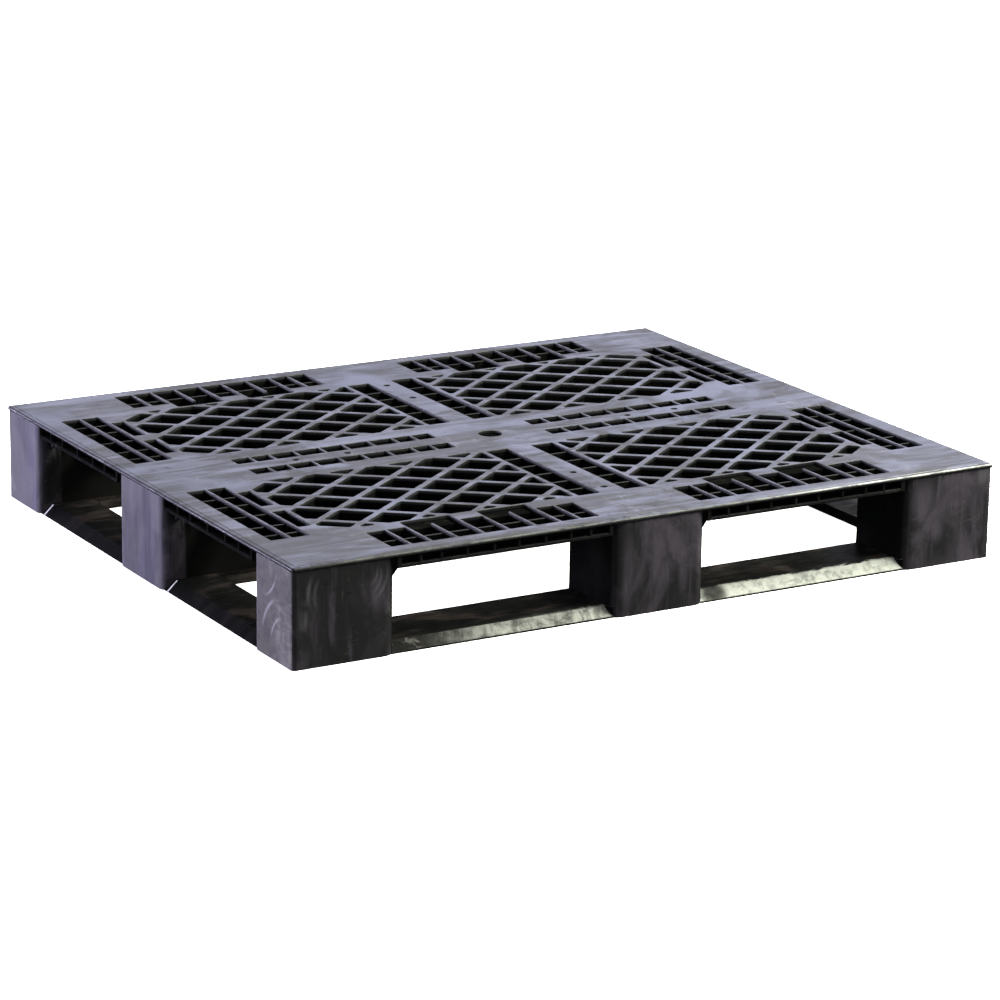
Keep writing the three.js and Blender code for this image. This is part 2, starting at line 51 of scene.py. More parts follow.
# ---- dimensions ---------------------------------------------------------------------------------------
# as in the CAD part, but for two: BLOCK_SMALL_ROUND (5 there), which softens the pallet's outer corners, and
# RECESS, the depth of the cross ribs below the top (6.4 there, the thickness of the skin)
deck_low, deck_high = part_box("top_deck")
HALF_X, HALF_Y, TOP = (v / MM for v in deck_high)
DECK_BOTTOM = deck_low.z / MM
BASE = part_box("base_frame")[1].z / MM
SKIN_BOTTOM = TOP - 6.4
LIP = 1
LIP_CORNER = 5
FACE_X, FACE_Y = HALF_X - LIP, HALF_Y - LIP
WALL = 5.4
RIB = 4
GAP = 0.3
SEAT_GAP = 0.4
BASE_X, BASE_Y = FACE_X - WALL - GAP, FACE_Y - WALL - GAP

BAY_X, BAY_HALF = 261.4, 173.4
BAY_RIBS = (20.4, 65.2, 107.8, 141.4)
BAY_CENTRES = [BAY_X - r for r in reversed(BAY_RIBS)] + [BAY_X + r for r in BAY_RIBS]
GRID_LOW, GRID_HIGH, GRID_CROSS, LEDGE_LOW = 398.2, 476.3, 436.7, 372.2
LEDGES = ((2, 3), (5, 6))
ARM_SLOT = (17.2, 46.5)
SIDE_COLUMNS = ((511.2, 539.5), (544, 573.8))
SIDE_SPAN = (90.2, 371)
SIDE_RIBS = (131, 174.2, 232.3, 290.8, 335)
INNER_COLUMN = (486.4, 507.2)
INNER_SPANS = ((125, 207.5), (240.2, 327.6))
SPINE_SLOT = (21.8, 59.8)
SPINE_RIBS = (135, 181.6, 229.3, 277.9, 323.6)
RECESS = 4.5

LATTICE_X, LATTICE_Y, LATTICE_CUT = (67.5, 479.4), (85.4, 368.3), (44.7, 33.7)
DIAMOND_AT, DIAMOND_PITCH, DIAMOND_RIB = (363.5, 191.4), (102.5, 78.4), 10

CORNER_X, CORNER_Y = 441.7, 379
MIDDLE_X, MIDDLE_Y = 82.4, 82.4
POCKET_DEPTH, FLANGE = 20, 5
BLOCK_ROUND, BLOCK_SMALL_ROUND = 20, 8
TOE, RAMP, TOE_SETBACK, TOE_ROUND, CHAMFER = 2, 15.5, 4.5, 8, 27
TOE_X, TOE_Y = FACE_X - TOE_SETBACK, FACE_Y - TOE_SETBACK
WINDOW_X, WINDOW_Y = 520, (98, 364)
WINDOW_ROUND = 15

CENTRE_HOLE, CENTRE_BORE = 19, 10
SCREW_SPOTS, SCREW_HOLE = (255, 345), 5.5
CHANNEL, WEB_BOTTOM = 13.3, 143
GUSSET_DROP, GUSSET_REACH, GUSSET_THICK = 20, 16, 6
GROOVE_END, GROOVE_HALF, GROOVE_TOP, POCKET_TOP = 590.3, 20.3, 9, 9.5
SEAT_RADIUS = 8.6

# openings of the ribbed layer under the skin, as (x span, y span) of one quarter
CORNER_ROOM, CORNER_RIBS = ((450, 594), (387, 493)), (522, 440)
SIDE_ROOM = ((450, 594), (20, 76))
SPINE_ROOM_X, SPINE_ROOMS_Y = (24, 76), ((387, 493), (22, 76))
ARM_ROOM = ((92.7, 431), (51, 81.5))

# pockets under the base frame, as spans along each runner and (start, depth) or spans across it
RUNNER_SPANS = ((92, 202), (206, 316), (320, 428))
RUNNER_POCKETS = ((-472, 6), (-419, 6), (-64, 40), (24, 40), (413, 6), (466, 6))
END_SPAN, END_POCKETS = (526, 568), ((96, 184), (188, 274), (278, 364))


# ---- outlines -----------------------------------------------------------------------------------------
def rectangle(x0, x1, y0, y1):
    return [(x0, y0), (x1, y0), (x1, y1), (x0, y1)]


def signed_area(loop):
    return sum(a[0] * b[1] - b[0] * a[1] for a, b in zip(loop, loop[1:] + loop[:1])) / 2


def counter_clockwise(loop):
    return list(loop) if signed_area(loop) > 0 else list(reversed(loop))


def rounded(loop, radii, steps=4):
    """The loop with its corners rounded; radii is one radius or one for each corner."""
    count = len(loop)
    radii = [radii] * count if isinstance(radii, (int, float)) else radii
    out = []
    for i, point in enumerate(loop):
        p = Vector(point)
        a, b = Vector(loop[i - 1]) - p, Vector(loop[(i + 1) % count]) - p
        la, lb = a.length, b.length
        a.normalize()
        b.normalize()
        half = a.angle(b) / 2
        reach = min(radii[i] / math.tan(half), 0.48 * la, 0.48 * lb)
        if reach < 0.05:
            out.append(tuple(p))
            continue
        radius = reach * math.tan(half)
        centre = p + (a + b).normalized() * (radius / math.sin(half))
        start, end = p + a * reach - centre, p + b * reach - centre
        turn = start.angle_signed(end)
        for k in range(steps + 1):
            out.append(tuple(centre + Matrix.Rotation(-turn * k / steps, 2) @ start))
    return out


def grown(loop, distance):
    """The counter-clockwise loop moved outward by a distance, or inward by a negative one."""
    if not distance:
        return list(loop)
    points = [Vector(p) for p in loop]
    out = []
    for i, p in enumerate(points):
        a = (p - points[i - 1]).normalized()
        b = (points[(i + 1) % len(points)] - p).normalized()
        na, nb = Vector((a.y, -a.x)), Vector((b.y, -b.x))
        middle = (na + nb).normalized()
        out.append(tuple(p + middle * (distance / max(middle.dot(na), 0.4))))
    return out


def clipped(loop, a, b, c):
    """The part of a polygon where a*x + b*y <= c."""
    out = []
    for p, q in zip(loop, loop[1:] + loop[:1]):
        dp, dq = a * p[0] + b * p[1] - c, a * q[0] + b * q[1] - c
        if dp <= 0:
            out.append(p)
        if dp * dq < 0:
            t = dp / (dp - dq)
            out.append((p[0] + (q[0] - p[0]) * t, p[1] + (q[1] - p[1]) * t))
    return out


def mirrored(loops):
    """The loops of one quarter, and their mirror images in the other three."""
    return [counter_clockwise([(sx * x, sy * y) for x, y in loop])
            for sx, sy in ((1, 1), (-1, 1), (-1, -1), (1, -1)) for loop in loops]


def circle(x, y, radius, sides=32):
    angles = [2 * math.pi * i / sides for i in range(sides)]
    return [(x + radius * math.cos(a), y + radius * math.sin(a)) for a in angles]


def inside(point, loop):
    """True if the point lies within the loop."""
    within = False
    for p, q in zip(loop, loop[1:] + loop[:1]):
        if (p[1] > point[1]) != (q[1] > point[1]):
            within ^= point[0] < p[0] + (q[0] - p[0]) * (point[1] - p[1]) / (q[1] - p[1])
    return within


def split(low, high, ribs):
    """The openings that ribs leave in a span."""
    starts = [low] + [r + RIB / 2 for r in ribs]
    ends = [r - RIB / 2 for r in ribs] + [high]
    return list(zip(starts, ends))


# ---- meshes -------------------------------------------------------------------------------------------
class Solid:
    """Vertices in millimetres and faces of one mesh, added to ring by ring."""

    def __init__(self):
        self.verts, self.faces = [], []

    def ring(self, loop, z):
        start = len(self.verts)
        self.verts += [(x, y, z) for x, y in loop]
        return list(range(start, start + len(loop)))

    def wall(self, low, high, outward=True):
        for i in range(len(low)):
            j = (i + 1) % len(low)
            face = (low[i], low[j], high[j], high[i])
            self.faces.append(face if outward else face[::-1])

    def cap(self, rings, up):
        """Fills a flat face between the first ring and the rings of its holes."""
        index, owner, points, edges = [], [], [], []
        for number, ring in enumerate(rings):
            start = len(points)
            index += ring
            owner += [number] * len(ring)
            points += [Vector(self.verts[i][:2]) for i in ring]
            edges += [(start + i, start + (i + 1) % len(ring)) for i in range(len(ring))]
        result = delaunay_2d_cdt(points, edges, [], 0, 1e-5)
        found, triangles, origin = result[0], result[2], result[3]
        if len(found) != len(points):
            raise ValueError(f"outlines of a face cross each other ({len(found)} points of {len(points)})")
        back = [o[0] for o in origin]
        for triangle in triangles:
            rings_met = {owner[back[i]] for i in triangle}
            if len(rings_met) == 1:
                number = rings_met.pop()
                centre = sum((found[i] for i in triangle), Vector((0, 0))) / 3
                if inside(centre, [self.verts[i] for i in rings[number]]) == (number > 0):
                    continue
            a, b, c = (found[i] for i in triangle)
            face = tuple(index[back[i]] for i in triangle)
            self.faces.append(face if ((b - a).cross(c - a) > 0) == up else face[::-1])

    def slab(self, outline, holes, z0, z1, outer=None, inner=None):
        """A flat plate. outer and inner are the edge profiles, as (inset into the material, height) pairs
        from the bottom face to the top face; without one the edge is square. The outline may be a function
        of the inset."""
        bottoms, tops = [], []
        for number, loop in enumerate([outline] + list(holes)):
            profile = (outer if number == 0 else inner) or ((0, z0), (0, z1))
            if callable(loop):
                rings = [self.ring(loop(inset), z) for inset, z in profile]
            else:
                loop, side = counter_clockwise(loop), -1 if number == 0 else 1
                rings = [self.ring(grown(loop, side * inset), z) for inset, z in profile]
            for low, high in zip(rings, rings[1:]):
                self.wall(low, high, outward=number == 0)
            bottoms.append(rings[0])
            tops.append(rings[-1])
        self.cap(bottoms, up=False)
        self.cap(tops, up=True)

    def object(self, name):
        mesh = bpy.data.meshes.new(name)
        mesh.from_pydata([(x * MM, y * MM, z * MM) for x, y, z in self.verts], [], self.faces)
        mesh.validate()
        piece = bpy.data.objects.new(name, mesh)
        bpy.context.scene.collection.objects.link(piece)
        return piece


def round_edge(z0, z1, top=0.0, bottom=0.0, steps=3):
    """An edge profile with its top and bottom rounded to those radii."""
    points = []
    for k in range(steps + 1):
        angle = math.pi / 2 * k / steps
        if bottom:
            points.append((bottom * (1 - math.sin(angle)), z0 + bottom * (1 - math.cos(angle))))
    if not bottom:
        points.append((0, z0))
    if not top:
        return points + [(0, z1)]
    for k in range(steps + 1):
        angle = math.pi / 2 * k / steps
        points.append((top * (1 - math.cos(angle)), z1 - top * (1 - math.sin(angle))))
    return points


def finished(piece, angle=40):
    """Smooth shading across rounded edges, with the flat faces kept flat."""
    mesh = piece.data
    mesh.shade_smooth()
    mesh.set_sharp_from_angle(angle=math.radians(angle))
    weighted = piece.modifiers.new("flat faces", "WEIGHTED_NORMAL")
    weighted.keep_sharp = True
    weighted.weight = 90
    return piece


def boolean(piece, cutters, operation="DIFFERENCE"):
    """Applies a boolean with each of the cutters, and removes them."""
    for cutter in cutters:
        step = piece.modifiers.new("cut", "BOOLEAN")
        step.operation, step.object, step.solver = operation, cutter, "MANIFOLD"
    bpy.context.view_layer.update()
    evaluated = piece.evaluated_get(bpy.context.evaluated_depsgraph_get())
    mesh = bpy.data.meshes.new_from_object(evaluated)
    piece.modifiers.clear()
    piece.data = mesh
    for cutter in cutters:
        bpy.data.objects.remove(cutter)
    return piece


def prism(loop, z0, z1):
    solid = Solid()
    solid.slab(loop, [], z0, z1)
    return solid.object("cutter")


# ---- deck ---------------------------------------------------------------------------------------------
def lattice():
    """The diamond openings of one quarter of the deck."""
    a, b = DIAMOND_PITCH[0] / 2, DIAMOND_PITCH[1] / 2
    scale = 1 - DIAMOND_RIB / 2 * math.hypot(a, b) / (a * b)
    (x0, x1), (y0, y1), (cut_x, cut_y) = LATTICE_X, LATTICE_Y, LATTICE_CUT
    borders = ((-1, 0, -x0), (1, 0, x1), (0, -1, -y0), (0, 1, y1),
               (cut_y, -cut_x, cut_y * x1 - cut_x * (y0 + cut_y)),
               (cut_y, cut_x, cut_y * x1 + cut_x * (y1 - cut_y)))
    openings = []
    for i in range(-10, 11):
        for j in range(-10, 11):
            if (i + j) % 2:
                continue
            cx, cy = DIAMOND_AT[0] + i * a, DIAMOND_AT[1] + j * b
            loop = [(cx + a * scale, cy), (cx, cy + b * scale), (cx - a * scale, cy), (cx, cy - b * scale)]
            for border in borders:
                loop = clipped(loop, *border)
            if len(loop) > 2 and abs(signed_area(loop)) > 60:
                openings.append(rounded(loop, 4))
    return openings


def slots(columns, rows, radius=2):
    return [rounded(rectangle(*x, *y), radius) for x in columns for y in rows]


def deck():
    columns = split(BAY_X - BAY_HALF, BAY_X + BAY_HALF, BAY_CENTRES)
    diamonds = lattice()
    grid = []
    ledge_columns = {i for pair in LEDGES for i in pair}
    for i, x in enumerate(columns):
        if i not in ledge_columns:
            grid.append(rounded(rectangle(*x, GRID_LOW, GRID_HIGH), 2))
    for a, b in LEDGES:
        (x0, x1), (x2, x3) = columns[a], columns[b]
        wide = [(x0, LEDGE_LOW), (x3, LEDGE_LOW), (x3, GRID_HIGH), (x2, GRID_HIGH),
                (x2, GRID_LOW), (x1, GRID_LOW), (x1, GRID_HIGH), (x0, GRID_HIGH)]
        grid.append(rounded(wide, [6, 6, 2, 2, 1.5, 1.5, 2, 2]))
    skin_holes = mirrored([*grid, *slots(columns, [ARM_SLOT]), *slots(SIDE_COLUMNS, [SIDE_SPAN]),
                           *slots([INNER_COLUMN], INNER_SPANS), *slots([SPINE_SLOT], [SIDE_SPAN]), *diamonds])
    for d in SCREW_SPOTS:
        skin_holes += [circle(x, y, SCREW_HOLE, 20) for x, y in ((d, 0), (-d, 0), (0, d), (0, -d))]
    skin_holes.append(circle(0, 0, CENTRE_HOLE, 48))
    edge = ((0.8, SKIN_BOTTOM), (0.2, SKIN_BOTTOM + 0.2), (0, SKIN_BOTTOM + 0.9), (0, TOP - 3.6),
            (0.5, TOP - 2.3), (1.5, TOP - 1.3), (2.9, TOP - 0.8), (7.2, TOP - 0.35), (8.0, TOP - 0.65),
            (8.8, TOP - 0.3), (9.8, TOP))

    def outline(inset):
        x, y = HALF_X - inset, HALF_Y - inset
        return rounded(rectangle(-x, x, -y, y), max(LIP_CORNER - inset, 0.4), 8)
    solid = Solid()
    solid.slab(outline, skin_holes, SKIN_BOTTOM, TOP, edge, round_edge(SKIN_BOTTOM, TOP, top=1.1))

    under = mirrored([*slots(columns, [(GRID_LOW, GRID_HIGH)]), *slots(columns, [ARM_SLOT]),
                      *slots(SIDE_COLUMNS, [SIDE_SPAN]), *slots([INNER_COLUMN], INNER_SPANS),
                      *slots([SPINE_SLOT], [SIDE_SPAN]), *diamonds,
                      *slots(*[split(*span, [rib]) for span, rib in zip(CORNER_ROOM, CORNER_RIBS)]),
                      *slots([SIDE_ROOM[0]], [SIDE_ROOM[1]]), *slots([SPINE_ROOM_X], SPINE_ROOMS_Y),
                      *slots([ARM_ROOM[0]], [ARM_ROOM[1]])])
    c, end_x, end_y = CHANNEL, BASE_X - WALL, BASE_Y - WALL
    cross = [(c, c), (end_x, c), (end_x, -c), (c, -c), (c, -end_y), (-c, -end_y),
             (-c, -c), (-end_x, -c), (-end_x, c), (-c, c), (-c, end_y), (c, end_y)]
    under.append(cross)
    lower_edge = round_edge(DECK_BOTTOM, SKIN_BOTTOM, bottom=0.8)
    solid.slab(under_outline(), under, DECK_BOTTOM, SKIN_BOTTOM, lower_edge, lower_edge)
    web = counter_clockwise(grown(counter_clockwise(cross), 1.5))
    solid.slab(web, [circle(0, 0, CENTRE_BORE, 32)], WEB_BOTTOM, SKIN_BOTTOM + 0.2)

    for sx, sy in ((1, 1), (-1, 1), (-1, -1), (1, -1)):
        for x0, x1 in columns:
            bar(solid, sx, sy, (x0 - 1, x1 + 1), (GRID_CROSS - RIB / 2, GRID_CROSS + RIB / 2))
        for column in SIDE_COLUMNS:
            for y in SIDE_RIBS:
                bar(solid, sx, sy, (column[0] - 1, column[1] + 1), (y - RIB / 2, y + RIB / 2))
        for y in SPINE_RIBS:
            bar(solid, sx, sy, (SPINE_SLOT[0] - 1, SPINE_SLOT[1] + 1), (y - RIB / 2, y + RIB / 2))
    rim(solid)
    return finished(solid.object("deck"))


def bar(solid, sx, sy, x, y):
    """A cross rib low in a slot, with rounded edges."""
    loop = counter_clockwise([(sx * a, sy * b) for a, b in rectangle(*x, *y)])
    top = TOP - RECESS
    solid.slab(loop, [], DECK_BOTTOM + 0.5, top, round_edge(DECK_BOTTOM + 0.5, top, top=0.9, bottom=0.6))


def under_outline():
    """Outline of the deck's ribbed layer, notched where the rim's pockets are and behind the block walls."""
    bay = (BAY_X - BAY_HALF, BAY_X + BAY_HALF)
    side = (MIDDLE_Y + RIB, CORNER_Y - RIB)
    deep_x, deep_y = FACE_X - POCKET_DEPTH, FACE_Y - POCKET_DEPTH
    front = [(MIDDLE_X + GAP, BASE_Y), (MIDDLE_X + GAP, FACE_Y), (bay[0], FACE_Y), (bay[0], deep_y),
             (bay[1], deep_y), (bay[1], FACE_Y), (CORNER_X - GAP, FACE_Y), (CORNER_X - GAP, BASE_Y)]
    flank = [(BASE_X, CORNER_Y - GAP), (FACE_X, CORNER_Y - GAP), (FACE_X, side[1]), (deep_x, side[1]),
             (deep_x, side[0]), (FACE_X, side[0]), (FACE_X, MIDDLE_Y + GAP), (BASE_X, MIDDLE_Y + GAP)]
    quarter = front + [(BASE_X, BASE_Y)] + flank
    loop = []
    for sx, sy in ((1, 1), (1, -1), (-1, -1), (-1, 1)):
        part = [(sx * x, sy * y) for x, y in quarter]
        loop += part if sx * sy > 0 else part[::-1]
    return counter_clockwise(loop)


def rim(solid):
    """The rim's lower flange and the ribs between its pockets."""
    top = DECK_BOTTOM + FLANGE
    deep_x, deep_y = FACE_X - POCKET_DEPTH - 1, FACE_Y - POCKET_DEPTH - 1
    bay = (BAY_X - BAY_HALF - 1, BAY_X + BAY_HALF + 1)
    side = (MIDDLE_Y + RIB - 1, CORNER_Y - RIB + 1)
    for sx, sy in ((1, 1), (-1, 1), (-1, -1), (1, -1)):
        for x, y in ((bay, (deep_y, FACE_Y)), ((deep_x, FACE_X), side)):
            loop = counter_clockwise([(sx * a, sy * b) for a, b in rectangle(*x, *y)])
            solid.slab(loop, [], DECK_BOTTOM, top, round_edge(DECK_BOTTOM, top, top=1.2, bottom=0.9))
        for x in BAY_CENTRES:
            loop = [(sx * a, sy * b) for a, b in rectangle(x - RIB / 2, x + RIB / 2, deep_y, FACE_Y - 0.4)]
            solid.slab(rounded(counter_clockwise(loop), 0.9), [], top - 1, SKIN_BOTTOM + 1)
        for y in SIDE_RIBS:
            loop = [(sx * a, sy * b) for a, b in rectangle(deep_x, FACE_X - 0.4, y - RIB / 2, y + RIB / 2)]
            solid.slab(rounded(counter_clockwise(loop), 0.9), [], top - 1, SKIN_BOTTOM + 1)


# ---- blocks -------------------------------------------------------------------------------------------
BLOCKS = {"front_left": (-1, -1), "front_middle": (0, -1), "front_right": (1, -1),
          "middle_left": (-1, 0), "centre": (0, 0), "middle_right": (1, 0),
          "back_left": (-1, 1), "back_middle": (0, 1), "back_right": (1, 1)}


def block_outline(sx, sy, grow=0.0):
    """The plan of the block in row sx along X and sy along Y, well rounded beside the fork openings."""
    def along(s, inner, face, half):
        return sorted((s * inner, s * face)) if s else (-half, half)
    x, y = along(sx, CORNER_X, FACE_X, MIDDLE_X), along(sy, CORNER_Y, FACE_Y, MIDDLE_Y)
    radii = [BLOCK_ROUND if (sx == px and sy != py) or (sy == py and sx != px) else BLOCK_SMALL_ROUND
             for px, py in ((-1, -1), (1, -1), (1, 1), (-1, 1))]
    return grown(rounded(rectangle(*x, *y), radii, 10), grow)


def block(name, sx, sy):
    top = SKIN_BOTTOM - GAP
    solid = Solid()
    solid.slab(block_outline(sx, sy), [], 0, top, round_edge(0, top, top=0.6, bottom=0.8))
    piece = solid.object(name)
    within = rectangle(-BASE_X - GAP, BASE_X + GAP, -BASE_Y - GAP, BASE_Y + GAP)
    piece = boolean(piece, [prism(within, -10, BASE + GAP), prism(within, DECK_BOTTOM - SEAT_GAP, TOP + 10)])
    gussets = []
    if sy:
        for s in ((-sx,) if sx else (-1, 1)):
            gussets.append(gusset("y", sx * CORNER_X if sx else s * MIDDLE_X, s, sy * (FACE_Y - BLOCK_ROUND)))
    if sx:
        for s in ((-sy,) if sy else (-1, 1)):
            gussets.append(gusset("x", sy * CORNER_Y if sy else s * MIDDLE_Y, s, sx * (FACE_X - BLOCK_ROUND)))
    return finished(boolean(piece, gussets, "UNION") if gussets else piece)


def gusset(axis, edge, direction, depth):
    """A triangular web in the top corner of a fork opening; axis is the way its thickness runs."""
    top, inner = DECK_BOTTOM - SEAT_GAP, edge - direction * WALL / 2
    section = [(inner, top - GUSSET_DROP), (edge, top - GUSSET_DROP),
               (edge + direction * GUSSET_REACH, top), (inner, top)]
    from_, to = sorted((depth, depth - math.copysign(GUSSET_THICK, depth)))
    solid = Solid()
    if axis == "x":
        low = [(from_, a, z) for a, z in section]
        high = [(to, a, z) for a, z in section]
    else:
        low = [(a, from_, z) for a, z in section]
        high = [(a, to, z) for a, z in section]
    solid.verts = low + high
    solid.faces = [(0, 1, 2, 3), (7, 6, 5, 4)] + [(i, i + 4, (i + 1) % 4 + 4, (i + 1) % 4) for i in range(4)]
    piece = solid.object("gusset")
    outward(piece)
    return piece


def outward(piece):
    """Turns all faces of a closed mesh outward."""
    work = bmesh.new()
    work.from_mesh(piece.data)
    bmesh.ops.recalc_face_normals(work, faces=work.faces)
    work.to_mesh(piece.data)
    work.free()


# ---- base frame ---------------------------------------------------------------------------------------
def wedge(axis, from_, to, section):
    """A prism along X or Y with a section of (across, height) points."""
    solid = Solid()
    place = (lambda t, a, z: (t, a, z)) if axis == "x" else (lambda t, a, z: (a, t, z))
    n = len(section)
    solid.verts = [place(from_, a, z) for a, z in section] + [place(to, a, z) for a, z in section]
    solid.faces = [tuple(range(n)), tuple(range(2 * n - 1, n - 1, -1))]
    solid.faces += [(i, i + n, (i + 1) % n + n, (i + 1) % n) for i in range(n)]
    piece = solid.object("cutter")
    outward(piece)
    return piece


def under_blocks():
    """A mesh of the blocks' plans at the height of the base frame."""
    solid = Solid()
    for row in BLOCKS.values():
        solid.slab(block_outline(*row, grow=GAP), [], -10, BASE + 10)
    return solid.object("cutter")


def boxes(places, z0, z1):
    solid = Solid()
    for x, y in places:
        solid.slab(rectangle(*sorted(x), *sorted(y)), [], z0, z1)
    return solid.object("cutter")


def slopes():
    """Cutters for the ramps on the outer edges and the slopes on the windows' long edges."""
    rise, inner_rise, over = (BASE - TOE) / RAMP, (BASE - TOE) / CHAMFER, 3
    cutters = []
    for side in (-1, 1):
        def outer(edge):
            return [(side * (edge + over), TOE - rise * over), (side * (edge - RAMP), BASE),
                    (side * (edge - RAMP), BASE + over), (side * (edge + over), BASE + over)]
        for end in (-1, 1):
            x = sorted((end * (MIDDLE_X - BLOCK_ROUND), end * (CORNER_X + BLOCK_ROUND)))
            y = sorted((end * (MIDDLE_Y - BLOCK_ROUND), end * (CORNER_Y + BLOCK_ROUND)))
            cutters += [wedge("x", *x, outer(TOE_Y)), wedge("y", *y, outer(TOE_X))]
            for edge, inward in ((side * WINDOW_Y[1], -side), (side * WINDOW_Y[0], side)):
                crest = edge - inward * CHAMFER
                section = [(edge + inward * over, TOE - inner_rise * over), (crest, BASE),
                           (crest, BASE + over), (edge + inward * over, BASE + over)]
                cutters.append(wedge("x", *sorted((0, end * WINDOW_X)), section))
    return [boolean(cutter, [under_blocks()]) for cutter in cutters]


def underside():
    """Cutters for the tube grooves, the pockets and the screw seats under the base frame."""
    row = (CORNER_Y + FACE_Y) / 2
    column = (CORNER_X + FACE_X) / 2
    grooves = [((-GROOVE_END, GROOVE_END), (y - GROOVE_HALF, y + GROOVE_HALF)) for y in (-row, 0, row)]
    pockets = [((s * x0, s * x1), (y, y + d)) for s in (-1, 1) for x0, x1 in RUNNER_SPANS
               for y, d in RUNNER_POCKETS]
    pockets += [((s * END_SPAN[0], s * END_SPAN[1]), (t * y0, t * y1)) for s in (-1, 1) for t in (-1, 1)
                for y0, y1 in END_POCKETS]
    seats = Solid()
    for x in (-column, 0, column):
        for y in (-row, 0, row):
            seats.slab(circle(x, y, SEAT_RADIUS), [], -5, GROOVE_TOP)
    return [boxes(grooves, -5, GROOVE_TOP), boxes(pockets, -5, POCKET_TOP), seats.object("cutter")]


def base_frame():
    windows = []
    for s in (-1, 1):
        y = sorted((s * WINDOW_Y[0], s * WINDOW_Y[1]))
        windows.append(rounded(rectangle(-WINDOW_X, WINDOW_X, *y), WINDOW_ROUND, 6))
    solid = Solid()
    solid.slab(rounded(rectangle(-TOE_X, TOE_X, -TOE_Y, TOE_Y), TOE_ROUND), windows, 0, BASE)
    feet = boolean(under_blocks(), [prism(rectangle(-BASE_X, BASE_X, -BASE_Y, BASE_Y), -20, BASE + 20)])
    piece = boolean(solid.object("base"), [feet, *slopes(), *underside()])
    bevel = piece.modifiers.new("edges", "BEVEL")
    bevel.width = 0.8 * MM
    bevel.segments = 2
    bevel.limit_method = "ANGLE"
    bevel.angle_limit = math.radians(20)
    return finished(piece, 50)


